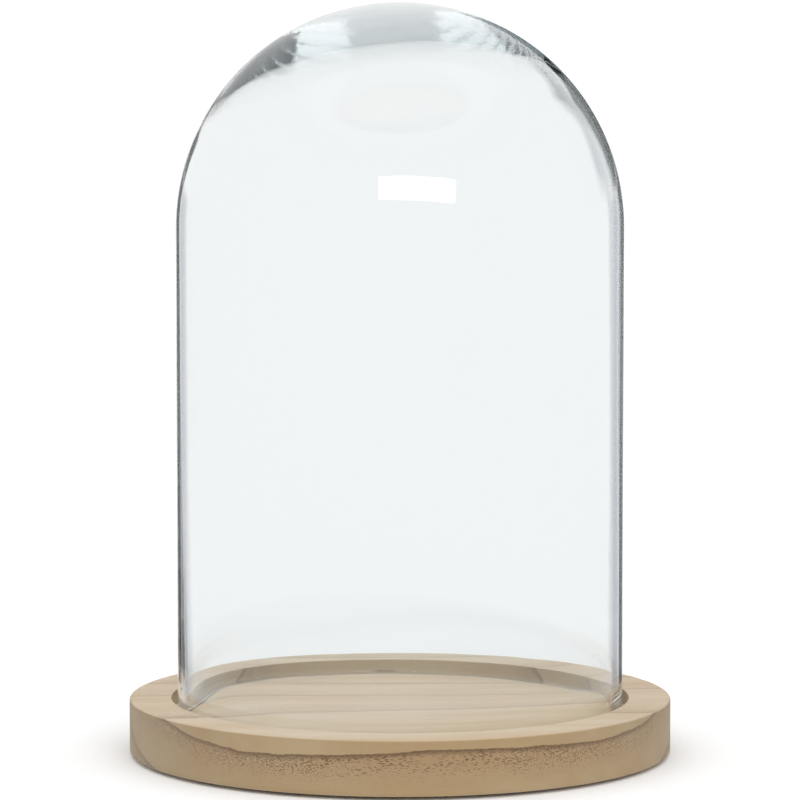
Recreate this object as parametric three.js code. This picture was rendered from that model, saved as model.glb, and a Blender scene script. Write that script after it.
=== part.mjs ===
// Bell jar dome: a blown glass dome that stands in the shallow recess of a turned wooden base.
// Units are millimetres, +Z is up, and the origin is on the surface that the foot pads stand on,
// below the centre of the base.

import * as THREE from 'three';

// Base plate
const BASE_DIAMETER = 220;
const BASE_THICKNESS = 21.5;
const BASE_ARRIS = 0.6; // the small chamfer sanded on the plate's outer edges
const RECESS_DIAMETER = 186;
const RECESS_DEPTH = 6;
const RECESS_ARRIS = 0.4; // the same at the mouth of the recess

// Glass dome
const DOME_DIAMETER = 181;
const DOME_HEIGHT = 287;
const WALL_THICKNESS = 3;
const CROWN_THICKNESS = 8.5; // the glass is thickest at the top, where the blown bubble gathers
const CROWN_SPREAD = Math.PI / 3; // angle from the axis at which the crown has thinned to the wall
const DISPLAY_DIAMETER = 172; // the part of the recess floor inside the dome, where an exhibit stands

// Foot pads
const PAD_DIAMETER = 16;
const PAD_THICKNESS = 1.5;
const PAD_COUNT = 4;
const PAD_CIRCLE_DIAMETER = 176;
const FIRST_PAD_ANGLE = Math.PI / 4;

// How finely round shapes are divided
const ROUND_STEPS = 96; // around the base and the dome
const CROWN_STEPS = 14; // from the shoulder of the dome to its top
const LIP_STEPS = 6; // around the fire-polished lower edge of the glass
const PAD_STEPS = 24;

const BASE_RADIUS = BASE_DIAMETER / 2;
const RECESS_RADIUS = RECESS_DIAMETER / 2;
const DOME_RADIUS = DOME_DIAMETER / 2;
const BASE_UNDERSIDE = PAD_THICKNESS;
const RECESS_FLOOR = BASE_UNDERSIDE + BASE_THICKNESS - RECESS_DEPTH;

const wood = new THREE.MeshStandardMaterial({ color: 0xcdbda3, roughness: 0.7, metalness: 0 });
const glass = new THREE.MeshStandardMaterial({
  color: 0xe6f0ee,
  roughness: 0.02,
  metalness: 0,
  transparent: true,
  opacity: 0.3,
});
const rubber = new THREE.MeshStandardMaterial({ color: 0x2b2a29, roughness: 0.85, metalness: 0 });

// A solid of revolution about +Z. The profile's points are (distance from the axis, height).
function turned(profile, steps) {
  const geometry = new THREE.LatheGeometry(profile, steps);
  geometry.rotateX(Math.PI / 2);
  return geometry;
}

// Points of an arc about (centreRadius, centreHeight), from one angle to another.
// Angles are measured from the outward radial direction towards +Z.
function arc(centreRadius, centreHeight, radius, from, to, steps) {
  const points = [];
  for (let i = 0; i <= steps; i += 1) {
    const angle = from + ((to - from) * i) / steps;
    points.push(
      new THREE.Vector2(
        centreRadius + radius * Math.cos(angle),
        centreHeight + radius * Math.sin(angle),
      ),
    );
  }
  return points;
}

// How thick the glass is at an angle from the axis, measured along the dome's radius.
function crownThickness(angleFromAxis) {
  if (angleFromAxis >= CROWN_SPREAD) {
    return WALL_THICKNESS;
  }
  const swell = (1 + Math.cos((Math.PI * angleFromAxis) / CROWN_SPREAD)) / 2;
  return WALL_THICKNESS + (CROWN_THICKNESS - WALL_THICKNESS) * swell;
}

// The turned wooden plate, solid apart from the flat-bottomed recess that holds the dome.
function basePlate() {
  const top = BASE_THICKNESS;
  const floor = BASE_THICKNESS - RECESS_DEPTH;
  const profile = [
    new THREE.Vector2(0, 0),
    new THREE.Vector2(BASE_RADIUS - BASE_ARRIS, 0),
    new THREE.Vector2(BASE_RADIUS, BASE_ARRIS),
    new THREE.Vector2(BASE_RADIUS, top - BASE_ARRIS),
    new THREE.Vector2(BASE_RADIUS - BASE_ARRIS, top),
    new THREE.Vector2(RECESS_RADIUS + RECESS_ARRIS, top),
    new THREE.Vector2(RECESS_RADIUS, top - RECESS_ARRIS),
    new THREE.Vector2(RECESS_RADIUS, floor),
    new THREE.Vector2(DISPLAY_DIAMETER / 2, floor),
    new THREE.Vector2(0, floor),
  ];
  const mesh = new THREE.Mesh(turned(profile, ROUND_STEPS), wood);
  mesh.name = 'base_plate';
  mesh.position.z = BASE_UNDERSIDE;
  return mesh;
}

// The dome: straight walls with a rounded lower edge, under a hemisphere whose inside
// is lower than its outside all round the top.
function glassDome() {
  const lipRadius = WALL_THICKNESS / 2;
  const shoulder = DOME_HEIGHT - DOME_RADIUS;
  const lip = arc(DOME_RADIUS - lipRadius, lipRadius, lipRadius, -Math.PI, 0, LIP_STEPS);
  const outside = arc(0, shoulder, DOME_RADIUS, 0, Math.PI / 2, CROWN_STEPS);
  const inside = [];
  for (let i = 0; i <= CROWN_STEPS; i += 1) {
    const angleFromAxis = ((Math.PI / 2) * i) / CROWN_STEPS;
    const radius = DOME_RADIUS - crownThickness(angleFromAxis);
    inside.push(
      new THREE.Vector2(
        radius * Math.sin(angleFromAxis),
        shoulder + radius * Math.cos(angleFromAxis),
      ),
    );
  }
  inside[0].x = 0;
  outside.at(-1).x = 0;
  const profile = [...inside, ...lip, ...outside];
  const mesh = new THREE.Mesh(turned(profile, ROUND_STEPS), glass);
  mesh.name = 'glass_dome';
  mesh.position.z = RECESS_FLOOR;
  return mesh;
}

// One self-adhesive pad under the base plate.
function footPad(number) {
  const geometry = new THREE.CylinderGeometry(
    PAD_DIAMETER / 2,
    PAD_DIAMETER / 2,
    PAD_THICKNESS,
    PAD_STEPS,
  );
  geometry.rotateX(Math.PI / 2);
  const angle = FIRST_PAD_ANGLE + (2 * Math.PI * (number - 1)) / PAD_COUNT;
  const mesh = new THREE.Mesh(geometry, rubber);
  mesh.name = `foot_pad_${number}`;
  mesh.position.set(
    (PAD_CIRCLE_DIAMETER / 2) * Math.cos(angle),
    (PAD_CIRCLE_DIAMETER / 2) * Math.sin(angle),
    PAD_THICKNESS / 2,
  );
  return mesh;
}

const bellJar = new THREE.Group();
bellJar.add(basePlate());
bellJar.add(glassDome());
for (let number = 1; number <= PAD_COUNT; number += 1) {
  bellJar.add(footPad(number));
}

export default bellJar;
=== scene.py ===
"""Looks for the bell jar dome: blown glass over a turned wooden base on four foam rubber pads."""

import math

import bpy
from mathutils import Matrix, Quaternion, Vector, noise

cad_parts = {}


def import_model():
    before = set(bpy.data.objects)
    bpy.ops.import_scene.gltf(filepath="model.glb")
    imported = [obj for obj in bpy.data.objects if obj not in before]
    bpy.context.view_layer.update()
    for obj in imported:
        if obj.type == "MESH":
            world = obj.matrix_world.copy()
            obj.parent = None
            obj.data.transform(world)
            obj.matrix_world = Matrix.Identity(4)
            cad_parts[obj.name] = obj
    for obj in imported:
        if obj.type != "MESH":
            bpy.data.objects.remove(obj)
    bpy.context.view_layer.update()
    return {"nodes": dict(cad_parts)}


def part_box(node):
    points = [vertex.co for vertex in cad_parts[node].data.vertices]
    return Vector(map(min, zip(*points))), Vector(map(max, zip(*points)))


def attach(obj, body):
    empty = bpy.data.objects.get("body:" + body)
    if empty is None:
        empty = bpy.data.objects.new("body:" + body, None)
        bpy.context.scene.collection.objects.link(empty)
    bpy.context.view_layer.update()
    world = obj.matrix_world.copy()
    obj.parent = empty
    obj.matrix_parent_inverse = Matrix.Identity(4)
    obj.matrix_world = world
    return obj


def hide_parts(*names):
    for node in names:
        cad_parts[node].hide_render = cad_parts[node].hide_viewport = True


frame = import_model()

MM = 0.001

# ---------------------------------------------------------------------------------------------
# Sizes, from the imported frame
# ---------------------------------------------------------------------------------------------

BASE_LOW, BASE_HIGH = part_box("base_plate")
DOME_LOW, DOME_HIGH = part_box("glass_dome")

BASE_RADIUS = BASE_HIGH.x
DOME_RADIUS = DOME_HIGH.x
SHOULDER = DOME_HIGH.z - DOME_RADIUS  # where the straight wall ends and the hemisphere starts
RECESS_RADIUS = 93 * MM  # as in the CAD, where it is inside the plate's box
EDGE_ROUNDING = 0.8 * MM  # the base plate's outer edges
MOUTH_ROUNDING = 0.4 * MM  # the mouth of the recess
PAD_ROUNDING = 0.3 * MM

WALL = 3 * MM
THIN_WALL = 1.9 * MM  # at the shoulder
CROWN = 8.5 * MM
CROWN_SPREAD = math.radians(60)  # how far from the thickest spot the crown has thinned to the wall
GATHER_LEFT = math.radians(6.5)  # how far the thickest spot leans off the axis
GATHER_FRONT = math.radians(4)
LIP_BEAD = 12 * MM  # how far up from the rounded lip the wall takes to become uneven

ROUND_STEPS = 256  # around the base and the dome
PAD_STEPS = 48
CROWN_STEPS = 90  # from the shoulder to the top
WALL_STEPS = 60


# ---------------------------------------------------------------------------------------------
# Mesh helpers
# ---------------------------------------------------------------------------------------------


def revolve(name, profile, steps, shift=None):
    """A closed mesh of revolution about Z. The profile is a list of (radius, height) that starts
    and ends on the axis; shift(point, azimuth, index) may move each point once it is in place."""
    vertices = []
    faces = []
    rings = []
    for index, (radius, height) in enumerate(profile):
        count = 1 if radius == 0 else steps
        ring = []
        for step in range(count):
            azimuth = 2 * math.pi * step / steps
            point = Vector((radius * math.cos(azimuth), radius * math.sin(azimuth), height))
            if shift:
                point = shift(point, azimuth, index)
            ring.append(len(vertices))
            vertices.append(point)
        rings.append(ring)
    for low, high in zip(rings, rings[1:]):
        for step in range(steps):
            after = (step + 1) % steps
            if len(low) == 1:
                faces.append((low[0], high[after], high[step]))
            elif len(high) == 1:
                faces.append((low[step], low[after], high[0]))
            else:
                faces.append((low[step], low[after], high[after], high[step]))
    mesh = bpy.data.meshes.new(name)
    mesh.from_pydata(vertices, [], faces)
    mesh.shade_smooth()
    mesh.update()
    piece = bpy.data.objects.new(name, mesh)
    bpy.context.scene.collection.objects.link(piece)
    return piece


def arc(centre, radius, start, end, steps):
    """Points of an arc in a profile, by angle from the outward direction towards +Z, in degrees."""
    points = []
    for i in range(steps + 1):
        angle = math.radians(start + (end - start) * i / steps)
        points.append((centre[0] + radius * math.cos(angle), centre[1] + radius * math.sin(angle)))
    return points


def line(start, end, steps):
    """Points between two profile points, without the two themselves."""
    return [
        (
            start[0] + (end[0] - start[0]) * i / steps,
            start[1] + (end[1] - start[1]) * i / steps,
        )
        for i in range(1, steps)
    ]


# ---------------------------------------------------------------------------------------------
# Material helpers
# ---------------------------------------------------------------------------------------------


class Nodes:
    """Short calls for the few node kinds that the materials are made from."""

    def __init__(self, tree):
        self.tree = tree
        tree.nodes.clear()

    def new(self, kind, **settings):
        node = self.tree.nodes.new(kind)
        for key, value in settings.items():
            setattr(node, key, value)
        return node

    def put(self, socket, value):
        if isinstance(value, bpy.types.NodeSocket):
            self.tree.links.new(value, socket)
        elif value is not None:
            socket.default_value = value

    def math(self, operation, a, b=None, c=None, clamp=False):
        node = self.new("ShaderNodeMath", operation=operation, use_clamp=clamp)
        for socket, value in zip(node.inputs, (a, b, c)):
            self.put(socket, value)
        return node.outputs[0]

    def vector(self, operation, a, b=None):
        node = self.new("ShaderNodeVectorMath", operation=operation)
        self.put(node.inputs[0], a)
        self.put(node.inputs[1], b)
        return node.outputs[0]

    def noise(self, vector, detail=3.0, roughness=0.5, distortion=0.0):
        node = self.new("ShaderNodeTexNoise")
        self.put(node.inputs["Vector"], vector)
        self.put(node.inputs["Scale"], 1.0)
        self.put(node.inputs["Detail"], detail)
        self.put(node.inputs["Roughness"], roughness)
        self.put(node.inputs["Distortion"], distortion)
        return node.outputs["Fac"]

    def ramp(self, value, low, high, to_low=0.0, to_high=1.0, smooth=False):
        node = self.new("ShaderNodeMapRange", clamp=True)
        node.interpolation_type = "SMOOTHSTEP" if smooth else "LINEAR"
        self.put(node.inputs["Value"], value)
        for key, number in zip(
            ("From Min", "From Max", "To Min", "To Max"), (low, high, to_low, to_high)
        ):
            self.put(node.inputs[key], number)
        return node.outputs["Result"]

    def band(self, value, low, high, edge):
        """1 between low and high and 0 outside, with edges as wide as edge."""
        rise = self.ramp(value, low - edge / 2, low + edge / 2)
        fall = self.ramp(value, high - edge / 2, high + edge / 2, 1.0, 0.0)
        return self.math("MULTIPLY", rise, fall)

    def mix(self, share, a, b, blend="MIX"):
        node = self.new("ShaderNodeMix", data_type="RGBA", blend_type=blend)
        self.put(node.inputs["Factor"], share)
        self.put(node.inputs["A"], a)
        self.put(node.inputs["B"], b)
        return node.outputs["Result"]


def new_material(name):
    material = bpy.data.materials.new(name)
    material.use_nodes = True
    return material, Nodes(material.node_tree)


# ---------------------------------------------------------------------------------------------
# Wood
# ---------------------------------------------------------------------------------------------

GRAIN_TURN = math.radians(5.5)  # the board's grain runs a little off the X axis
PITH = (-90.0, 168.5)  # where the tree's centre was, across the grain and up, in mm
FIRST_RING = 151.0  # radius of the growth ring that shows on the front of the edge, in mm
RING_WIDTH = 21.5

WOOD_PALE = (0.575, 0.470, 0.342, 1)
WOOD_WARM = (0.520, 0.390, 0.248, 1)
WOOD_STREAK = (0.440, 0.320, 0.200, 1)
WOOD_EARLY = (0.400, 0.265, 0.165, 1)
WOOD_PORE = (0.150, 0.082, 0.040, 1)
WOOD_END = (0.300, 0.235, 0.165, 1)
# painted shade, multiplied over the upright edge's colour so it reads as lit less than the faces
WOOD_SIDE_PAINTED_SHADE = (0.68, 0.615, 0.47, 1)


def board_place(n):
    """Places in the board in mm, with X along the grain."""
    turned = n.new("ShaderNodeMapping", vector_type="TEXTURE")
    n.put(turned.inputs["Vector"], n.new("ShaderNodeTexCoord").outputs["Object"])
    turned.inputs["Rotation"].default_value = (0, 0, GRAIN_TURN)
    turned.inputs["Scale"].default_value = (MM, MM, MM)
    return turned.outputs[0]


def growth_rings(n, board):
    """How far each place is through its growth ring, from 0 at the ring's start to 1."""
    # Slow waves in the grain, longest along it
    sway = n.noise(n.vector("MULTIPLY", board, (0.006, 0.014, 0.014)), detail=2.0)
    sway = n.math("MULTIPLY", n.math("SUBTRACT", sway, 0.5), 9.0)
    quiver = n.noise(n.vector("MULTIPLY", board, (0.05, 0.18, 0.18)), detail=2.0)
    quiver = n.math("MULTIPLY", n.math("SUBTRACT", quiver, 0.5), 1.2)

    parts = n.new("ShaderNodeSeparateXYZ")
    n.put(parts.inputs[0], board)
    across = n.math("SUBTRACT", parts.outputs["Y"], PITH[0])
    up = n.math("SUBTRACT", parts.outputs["Z"], PITH[1])
    squares = n.math("ADD", n.math("MULTIPLY", across, across), n.math("MULTIPLY", up, up))
    radius = n.math("ADD", n.math("ADD", n.math("SQRT", squares), sway), quiver)
    rings = n.math("DIVIDE", n.math("SUBTRACT", radius, FIRST_RING), RING_WIDTH)
    return n.math("FRACT", rings)


def open_pores(n, board, porous):
    """Short hollows along the grain, larger and more where the wood is porous."""
    cells = n.new("ShaderNodeTexVoronoi", feature="F1")
    n.put(cells.inputs["Vector"], n.vector("MULTIPLY", board, (0.45, 1.9, 1.9)))
    n.put(cells.inputs["Scale"], 1.0)
    size = n.ramp(porous, 0.0, 1.0, 0.20, 0.50)
    pores = n.ramp(n.math("SUBTRACT", size, cells.outputs["Distance"]), 0.0, 0.16)
    gaps = n.noise(n.vector("MULTIPLY", board, (0.05, 0.35, 0.35)), detail=2.0)
    pores = n.math("MULTIPLY", pores, n.ramp(gaps, 0.25, 0.50))
    return n.math("MULTIPLY", pores, n.ramp(porous, 0.05, 0.75, 0.0, 1.0))


def end_grain(n, facing):
    """1 where the surface cuts straight across the grain, falling fast to 0 along it."""
    along = n.new("ShaderNodeVectorMath", operation="DOT_PRODUCT")
    n.put(along.inputs[0], facing)
    n.put(along.inputs[1], (math.cos(GRAIN_TURN), math.sin(GRAIN_TURN), 0))
    return n.math("POWER", n.math("ABSOLUTE", along.outputs["Value"]), 3.0)


def wood_material():
    material, n = new_material("bare_wood")
    board = board_place(n)
    phase = growth_rings(n, board)
    facing = n.new("ShaderNodeTexCoord").outputs["Normal"]

    # The side shows the rings square on, the faces cut them at a slant
    upright = n.new("ShaderNodeSeparateXYZ")
    n.put(upright.inputs[0], facing)
    side = n.ramp(n.math("ABSOLUTE", upright.outputs["Z"]), 0.3, 0.9, 1.0, 0.0, smooth=True)

    # The ring's dark start, a soft line, and the zone of open pores after it
    start = n.ramp(phase, 0.01, 0.12, 1.0, 0.0, smooth=True)
    start = n.math("MULTIPLY", start, n.ramp(phase, 0.0, 0.015, 0.0, 1.0))
    porous = n.ramp(phase, 0.03, 0.80, 1.0, 0.0, smooth=True)
    pores = open_pores(n, board, porous)

    # Fine streaks along the fibres, and broad patches that are paler or warmer
    fibres = n.noise(n.vector("MULTIPLY", board, (0.035, 2.2, 2.2)), detail=4.0, roughness=0.65)
    patches = n.noise(n.vector("MULTIPLY", board, (0.008, 0.06, 0.06)), detail=3.0)

    early_share = n.math("MULTIPLY", porous, n.ramp(side, 0.0, 1.0, 0.06, 0.32))
    start_share = n.math("MULTIPLY", start, n.ramp(side, 0.0, 1.0, 0.30, 0.80))
    pore_share = n.math("MULTIPLY", pores, n.ramp(side, 0.0, 1.0, 0.25, 0.90))
    colour = n.mix(n.ramp(patches, 0.35, 0.65), WOOD_PALE, WOOD_WARM)
    colour = n.mix(n.ramp(fibres, 0.35, 0.75, 0.0, 0.30), colour, WOOD_STREAK)
    colour = n.mix(early_share, colour, WOOD_EARLY)
    colour = n.mix(start_share, colour, WOOD_PORE)
    colour = n.mix(pore_share, colour, WOOD_PORE)

    # Painted shade: the upright edge and the recess wall are multiplied darker and browner than the
    # faces, standing in for the lesser light they get. End grain drinks more light
    colour = n.mix(side, colour, WOOD_SIDE_PAINTED_SHADE, blend="MULTIPLY")
    colour = n.mix(n.math("MULTIPLY", end_grain(n, facing), 0.55), colour, WOOD_END)

    shader = n.new("ShaderNodeBsdfPrincipled")
    n.put(shader.inputs["Base Color"], colour)
    n.put(shader.inputs["Roughness"], n.ramp(fibres, 0.3, 0.7, 0.50, 0.66))
    bump = n.new("ShaderNodeBump")
    bump.inputs["Strength"].default_value = 0.35
    bump.inputs["Distance"].default_value = 0.15 * MM
    n.put(bump.inputs["Height"], n.math("SUBTRACT", n.math("MULTIPLY", fibres, 0.35), pores))
    n.put(shader.inputs["Normal"], bump.outputs[0])
    output = n.new("ShaderNodeOutputMaterial")
    n.put(output.inputs["Surface"], shader.outputs[0])
    return material


def base_plate(material):
    """The turned plate, with its sanded edges rounded over."""
    low, high = BASE_LOW.z, BASE_HIGH.z
    recess_floor = DOME_LOW.z
    edge = EDGE_ROUNDING
    mouth = MOUTH_ROUNDING
    outer = BASE_RADIUS - edge
    inner = RECESS_RADIUS + mouth
    corner_gap = 0.01 * MM  # keeps the recess's inner corner crisp
    profile = [(0, low)]
    profile += line((0, low), (outer, low), 8)
    profile += arc((outer, low + edge), edge, -90, 0, 5)
    profile += line((BASE_RADIUS, low + edge), (BASE_RADIUS, high - edge), 8)
    profile += arc((outer, high - edge), edge, 0, 90, 5)
    profile += line((outer, high), (inner, high), 4)
    profile += arc((inner, high - mouth), mouth, 90, 180, 4)
    profile += line((RECESS_RADIUS, high - mouth), (RECESS_RADIUS, recess_floor), 4)
    profile += [(RECESS_RADIUS, recess_floor)]
    profile += [(RECESS_RADIUS - corner_gap, recess_floor)]
    profile += line((RECESS_RADIUS, recess_floor), (0, recess_floor), 8)
    profile += [(0, recess_floor)]
    plate = revolve("turned_base", profile, ROUND_STEPS)
    plate.data.set_sharp_from_angle(angle=math.radians(40))
    plate.data.materials.append(material)
    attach(plate, "base")
    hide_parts("base_plate")
    return plate


# ---------------------------------------------------------------------------------------------
# Glass
# ---------------------------------------------------------------------------------------------

GLASS_COLOUR = (0.978, 0.996, 1.0, 1)
DEEP_TINT = (0.35, 0.45, 0.48, 1)  # the green-grey of a long way through the glass
TINT_DENSITY = 7.0
RING_DEPTH = 0.07 * MM

# How far the inside wanders from its mean, in mm
SLOW_WANDER = 0.25
DRAWN_WANDER = 0.05  # in streaks along the walls
CROWN_WANDER = 0.35  # more at the top


def spinning_rings(n):
    """Faint rings left by the spinning of the gather: strongest on top, fainter down the walls."""
    place = n.new("ShaderNodeTexCoord").outputs["Object"]
    parts = n.new("ShaderNodeSeparateXYZ")
    n.put(parts.inputs[0], place)
    x, y, z = parts.outputs
    reach = n.math("SQRT", n.math("ADD", n.math("MULTIPLY", x, x), n.math("MULTIPLY", y, y)))
    outward = n.math("MULTIPLY", reach, 350)
    upward = n.math("MULTIPLY", z, 80)
    spun = n.new("ShaderNodeCombineXYZ")
    n.put(spun.inputs["X"], n.math("MULTIPLY", x, 60))
    n.put(spun.inputs["Y"], n.math("MULTIPLY", y, 60))
    n.put(spun.inputs["Z"], n.math("ADD", outward, upward))
    rings = n.noise(spun.outputs[0], detail=2.0)
    fades_from = DOME_HIGH.z - 0.10 * DOME_RADIUS
    fades_to = DOME_HIGH.z - 0.25 * DOME_RADIUS
    strength = n.ramp(z, fades_to, fades_from, 0.12, 1.0, smooth=True)
    bump = n.new("ShaderNodeBump")
    bump.inputs["Strength"].default_value = 1.0
    bump.inputs["Distance"].default_value = RING_DEPTH
    n.put(bump.inputs["Height"], n.math("MULTIPLY", rings, strength))
    return bump.outputs[0]


def glass_material():
    material, n = new_material("clear_glass")
    shader = n.new("ShaderNodeBsdfPrincipled")
    shader.inputs["Base Color"].default_value = GLASS_COLOUR
    shader.inputs["Transmission Weight"].default_value = 1.0
    shader.inputs["Roughness"].default_value = 0.0
    shader.inputs["IOR"].default_value = 1.5
    n.put(shader.inputs["Normal"], spinning_rings(n))
    output = n.new("ShaderNodeOutputMaterial")
    n.put(output.inputs["Surface"], shader.outputs[0])
    tint = n.new("ShaderNodeVolumeAbsorption")
    tint.inputs["Color"].default_value = DEEP_TINT
    tint.inputs["Density"].default_value = TINT_DENSITY
    n.put(output.inputs["Volume"], tint.outputs[0])
    return material


def wall_thickness(point):
    """How thick the blown wall is beside a point: thinnest at the shoulder, heavier towards the
    bottom, and most of that on the left."""
    height = (point.z - DOME_LOW.z) / (SHOULDER - DOME_LOW.z)
    down = 1 - max(0.0, min(1.0, height))
    left = -point.x / DOME_RADIUS
    return THIN_WALL + (WALL - THIN_WALL) * down**3 * (1 + left)


def crown_thickness(angle, wall):
    """How thick the glass is at an angle from the middle of the crown's heavy gather."""
    if angle >= CROWN_SPREAD:
        return wall
    return wall + (CROWN - wall) * (1 + math.cos(math.pi * angle / CROWN_SPREAD)) / 2


def unevenness(point, share):
    """How much a blown wall's inside wanders from its mean, in metres. share is 0 on the walls
    and 1 at the top of the crown."""
    slow = noise.noise(Vector((point.x, point.y, point.z * 0.5)) * 16)
    drawn = noise.noise(Vector((point.x * 45, point.y * 45, point.z * 5)))
    return (SLOW_WANDER * slow + DRAWN_WANDER * drawn) * MM + share * CROWN_WANDER * MM * slow


def glass_dome(material):
    """The dome. The outside is as in the CAD; the inside wanders as blown glass does, and the
    heavy gather at the top sits a little to the left and front of the axis."""
    low = DOME_LOW.z
    gather = Vector((-math.sin(GATHER_LEFT), -math.sin(GATHER_FRONT), 1)).normalized()
    lip = WALL / 2
    inner = DOME_RADIUS - WALL
    profile = arc((0, SHOULDER), inner, 90, 0, CROWN_STEPS)
    profile[0] = (0, SHOULDER + inner)
    profile += line((inner, SHOULDER), (inner, low + lip), WALL_STEPS)
    inner_count = len(profile)
    profile += arc((DOME_RADIUS - lip, low + lip), lip, -180, 0, 12)
    profile += line((DOME_RADIUS, low + lip), (DOME_RADIUS, SHOULDER), WALL_STEPS)
    profile += arc((0, SHOULDER), DOME_RADIUS, 0, 90, CROWN_STEPS)
    profile[-1] = (0, SHOULDER + DOME_RADIUS)

    def blown(point, azimuth, index):
        if index >= inner_count:
            return point
        centre = Vector((0, 0, min(point.z, SHOULDER)))
        outward = (point - centre).normalized()
        angle = math.acos(max(-1.0, min(1.0, outward.dot(gather))))
        share = max(0.0, 1 - angle / CROWN_SPREAD)
        fade = max(0.0, min(1.0, (point.z - low - lip) / LIP_BEAD))
        inset = crown_thickness(angle, wall_thickness(point)) - WALL
        return point + outward * (unevenness(point, share) - inset) * fade

    dome = revolve("blown_dome", profile, ROUND_STEPS, blown)
    dome.data.materials.append(material)
    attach(dome, "dome")
    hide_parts("glass_dome")
    return dome


# ---------------------------------------------------------------------------------------------
# Foot pads
# ---------------------------------------------------------------------------------------------

FOAM_DARK = (0.018, 0.018, 0.018, 1)
FOAM_PALE = (0.04, 0.039, 0.037, 1)


def rubber_material():
    material, n = new_material("foam_rubber")
    place = n.new("ShaderNodeTexCoord").outputs["Object"]
    cells = n.noise(n.vector("MULTIPLY", place, (2500, 2500, 2500)), detail=2.0)
    shader = n.new("ShaderNodeBsdfPrincipled")
    n.put(shader.inputs["Base Color"], n.mix(n.ramp(cells, 0.3, 0.7), FOAM_DARK, FOAM_PALE))
    n.put(shader.inputs["Roughness"], n.ramp(cells, 0.3, 0.7, 0.75, 0.95))
    bump = n.new("ShaderNodeBump")
    bump.inputs["Strength"].default_value = 0.4
    bump.inputs["Distance"].default_value = 0.1 * MM
    n.put(bump.inputs["Height"], cells)
    n.put(shader.inputs["Normal"], bump.outputs[0])
    output = n.new("ShaderNodeOutputMaterial")
    n.put(output.inputs["Surface"], shader.outputs[0])
    return material


def foot_pad(node, material):
    """A die-cut disc with slightly rolled edges."""
    low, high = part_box(node)
    radius = (high.x - low.x) / 2
    edge = PAD_ROUNDING
    profile = [(0, low.z)]
    profile += line((0, low.z), (radius - edge, low.z), 3)
    profile += arc((radius - edge, low.z + edge), edge, -90, 0, 4)
    profile += arc((radius - edge, high.z - edge), edge, 0, 90, 4)
    profile += line((radius - edge, high.z), (0, high.z), 3)
    profile += [(0, high.z)]
    pad = revolve(node + "_foam", profile, PAD_STEPS)
    pad.location = ((low.x + high.x) / 2, (low.y + high.y) / 2, 0)
    pad.data.materials.append(material)
    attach(pad, "base")
    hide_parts(node)
    return pad


# ---------------------------------------------------------------------------------------------
# Studio
# ---------------------------------------------------------------------------------------------

CAMERA_AWAY = 12.72 * BASE_RADIUS
CAMERA_UP = 2.225 * BASE_RADIUS  # above the underside of the base plate
CAMERA_DOWNWARD = math.radians(4.198)


def camera():
    data = bpy.data.cameras.new("camera")
    data.sensor_width = 36
    data.lens = 155.7
    data.clip_start = 0.01
    data.clip_end = 50
    viewer = bpy.data.objects.new("camera", data)
    viewer.location = (0, -CAMERA_AWAY, BASE_LOW.z + CAMERA_UP)
    viewer.rotation_euler = (math.radians(90) - CAMERA_DOWNWARD, 0, 0)
    bpy.context.scene.collection.objects.link(viewer)
    bpy.context.scene.camera = viewer


# What the glass and the wood see round them. A panel is a colour and the stretch of the studio that
# it covers: left and right by the compass, bottom and top by height, then how soft its upright
# edges are, all in degrees. The compass is 0 straight behind the dome and positive to the right.
ROOM_LIGHT = (0.93, 0.93, 0.93)
ROOF_LIGHT = (1.45, 1.45, 1.45)
LILAC = (0.38, 0.39, 0.44)
BLACK = (0.018, 0.026, 0.028)
SHADE = (0.055, 0.075, 0.080)
BACK_PANELS = [
    (LILAC, 7.5, 16, 0.5, 3.5, 1.2),
    (LILAC, 9.5, 16, -12, 0.5, 1.2),
    (SHADE, 5.5, 16, 3.5, 21, 1.5),
    (BLACK, 14.5, 32, 3.5, 20, 1.2),
    (BLACK, -26, -14, 3.5, 9, 1.2),
]
# The lower part of the dark ones and the soft lilac beside it are met only by rays that glance off the
# glass, so that they draw its edges and the glass is clear from every side
GLANCED_PANELS = [
    (BLACK, 14, 25, -90, 3.5, 1.2),
    (BLACK, -25, -14, -90, 3.5, 1.2),
    (LILAC, 26, 38, -90, 3.5, 5),
    (LILAC, -38, -26, -90, 3.5, 5),
]
# For the light that the thick crown guides along inside it, met only by rays that have been through
# many surfaces
CROWN_PANELS = [
    (ROOF_LIGHT, 15, 44, -30, 30, 3),
    (ROOF_LIGHT, -76, -30, -12, 30, 3),
    (SHADE, 46, 126, -6, 22, 3),
    (SHADE, -126, -76, -30, -7, 3),
]
ONE_WALL = 3  # how deep a ray is once it has passed straight through one wall
TWO_WALLS = 5  # and through both
LONG_WAY = 10  # how deep the crown's guided rays are at least
PANEL_TOP = 1.5  # how soft the panels' upper and lower edges are
ROOF_START = 50  # the height at which the room begins to brighten to the roof
ROOF_FULL = 62


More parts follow.
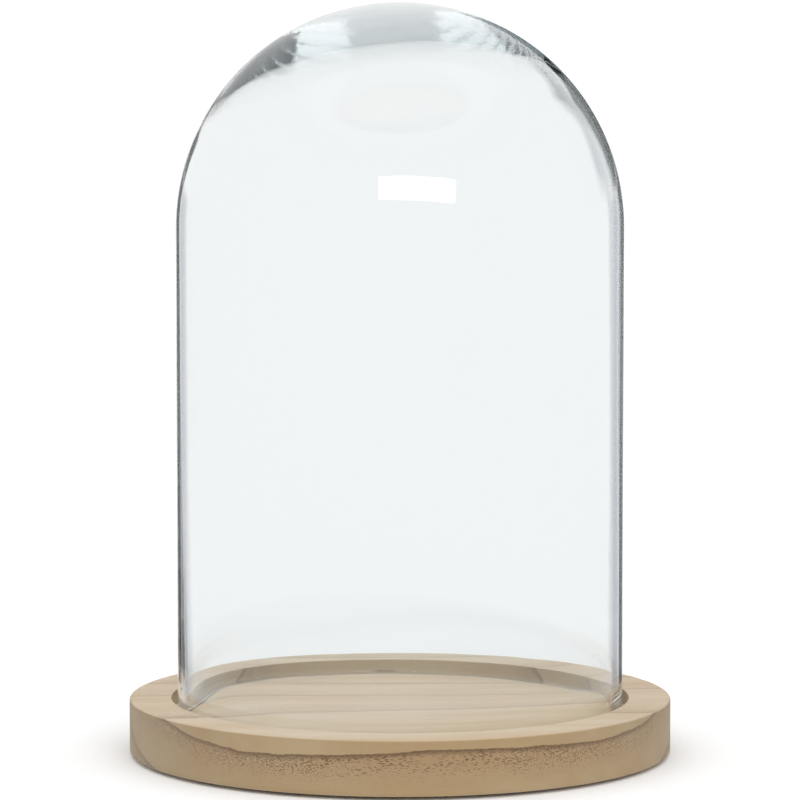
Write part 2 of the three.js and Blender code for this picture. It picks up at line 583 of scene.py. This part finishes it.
def world():
    """A pale studio with a brighter roof, and panels that draw the edges and the crown of the glass.
    The camera itself sees plain white beyond the table."""
    studio = bpy.data.worlds.new("studio")
    bpy.context.scene.world = studio
    studio.use_nodes = True
    n = Nodes(studio.node_tree)
    parts = n.new("ShaderNodeSeparateXYZ")
    n.put(parts.inputs[0], n.new("ShaderNodeTexCoord").outputs["Generated"])
    turn = n.math("ARCTAN2", parts.outputs["X"], parts.outputs["Y"])
    turn = n.math("MULTIPLY", turn, 180 / math.pi)
    height = n.math("MULTIPLY", n.math("ARCSINE", parts.outputs["Z"]), 180 / math.pi)

    rays = n.new("ShaderNodeLightPath").outputs
    depth = rays["Ray Depth"]
    mirrored = n.math("SUBTRACT", rays["Is Glossy Ray"], rays["Is Transmission Ray"], clamp=True)
    direct = n.math("SUBTRACT", 1.0, mirrored)
    early = n.math("LESS_THAN", depth, TWO_WALLS + 0.5)
    guided = n.math("MULTIPLY", n.math("GREATER_THAN", depth, LONG_WAY - 0.5), direct)
    steps_away = n.math("ABSOLUTE", n.math("SUBTRACT", depth, ONE_WALL))
    glanced = n.math("COMPARE", steps_away, 1, 0.5)

    light = (*ROOM_LIGHT, 1)
    for panels, seen_by in (
        (BACK_PANELS, early),
        (GLANCED_PANELS, glanced),
        (CROWN_PANELS, guided),
    ):
        for colour, left, right, bottom, top, edge in panels:
            share = n.band(turn, left, right, edge)
            share = n.math("MULTIPLY", share, n.band(height, bottom, top, PANEL_TOP))
            light = n.mix(n.math("MULTIPLY", share, seen_by), light, (*colour, 1))
    roof = n.math("MULTIPLY", n.ramp(height, ROOF_START, ROOF_FULL, smooth=True), direct)
    light = n.mix(roof, light, (*ROOF_LIGHT, 1))

    background = n.new("ShaderNodeBackground")
    n.put(background.inputs["Color"], light)
    background.inputs["Strength"].default_value = 1.0
    seen = n.new("ShaderNodeBackground")
    seen.inputs["Color"].default_value = (1, 1, 1, 1)
    seen.inputs["Strength"].default_value = 1.1
    swap = n.new("ShaderNodeMixShader")
    n.put(swap.inputs[0], rays["Is Camera Ray"])
    n.put(swap.inputs[1], background.outputs[0])
    n.put(swap.inputs[2], seen.outputs[0])
    n.put(n.new("ShaderNodeOutputWorld").inputs["Surface"], swap.outputs[0])


SOFTBOX_AIM = 0.2  # the height up the dome that the lights face


def softbox(name, azimuth, elevation, roll, distance, width, height, power):
    """A rectangular light that faces the dome. Azimuth 0 is straight behind the camera."""
    data = bpy.data.lights.new(name, "AREA")
    data.shape = "RECTANGLE"
    data.size = width
    data.size_y = height
    data.energy = power
    box = bpy.data.objects.new(name, data)
    turn = math.radians(azimuth)
    rise = math.radians(elevation)
    aim = Vector((0, 0, SOFTBOX_AIM))
    offset = Vector(
        (
            math.sin(turn) * math.cos(rise),
            -math.cos(turn) * math.cos(rise),
            math.sin(rise),
        )
    )
    box.location = aim + offset * distance
    facing = offset.to_track_quat("Z", "Y") @ Quaternion((0, 0, 1), math.radians(roll))
    box.rotation_euler = facing.to_euler()
    bpy.context.scene.collection.objects.link(box)


def floor():
    """A round white table top, wide enough to carry the light back up to the base."""
    radius = 0.17
    steps = 96
    rim = []
    for i in range(steps):
        azimuth = 2 * math.pi * i / steps
        rim.append((radius * math.cos(azimuth), radius * math.sin(azimuth), 0))
    mesh = bpy.data.meshes.new("floor")
    mesh.from_pydata(rim, [], [range(steps)])
    table = bpy.data.objects.new("floor", mesh)
    bpy.context.scene.collection.objects.link(table)
    material, n = new_material("pale_floor")
    shader = n.new("ShaderNodeBsdfDiffuse")
    shader.inputs["Color"].default_value = (0.92, 0.92, 0.92, 1)
    n.put(n.new("ShaderNodeOutputMaterial").inputs["Surface"], shader.outputs[0])
    mesh.materials.append(material)


scene = bpy.context.scene
scene.view_settings.view_transform = "Standard"
scene.view_settings.look = "None"
scene.cycles.max_bounces = 64
scene.cycles.transmission_bounces = 64
scene.cycles.glossy_bounces = 32
scene.cycles.blur_glossy = 0

camera()
world()
floor()
softbox(
    "front_softbox",
    azimuth=8.8,
    elevation=20.8,
    roll=-3.5,
    distance=1.3,
    width=0.86,
    height=0.26,
    power=3.5,
)

wood = wood_material()
base_plate(wood)
glass_dome(glass_material())
rubber = rubber_material()
for pad_node in sorted(name for name in frame["nodes"] if name.startswith("foot_pad_")):
    foot_pad(pad_node, rubber)
